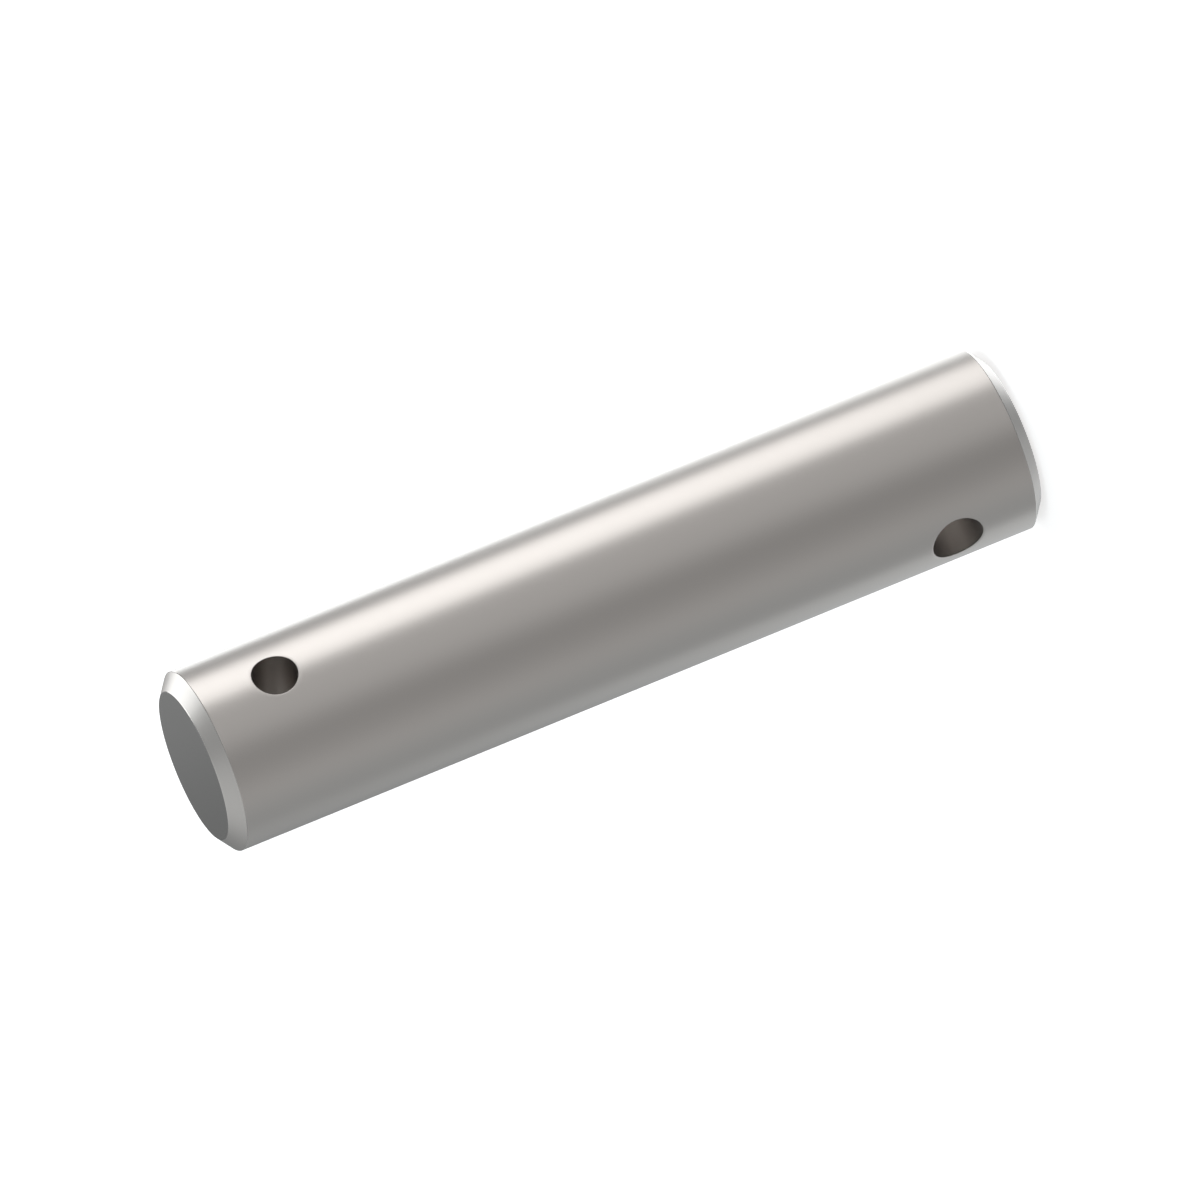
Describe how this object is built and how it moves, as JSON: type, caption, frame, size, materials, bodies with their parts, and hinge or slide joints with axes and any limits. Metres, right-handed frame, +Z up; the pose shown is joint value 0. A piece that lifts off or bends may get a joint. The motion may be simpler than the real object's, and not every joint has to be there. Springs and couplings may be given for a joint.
{
  "type": "headless clevis pin",
  "caption": "Plain round steel pin with chamfered ends and two cross holes of different bore set at right angles.",
  "frame": {"origin": "centre of the lower end face, on the pin's axis", "axes": "+Z up the pin's axis towards the end with the smaller cross hole, +X along the smaller cross hole, +Y along the larger one"},
  "size_m": [0.03, 0.03, 0.14],
  "materials": {
    "ground_steel": "satin ground"
  },
  "bodies": {
    "root": {"pin": "ground_steel"}
  },
  "joints": []
}
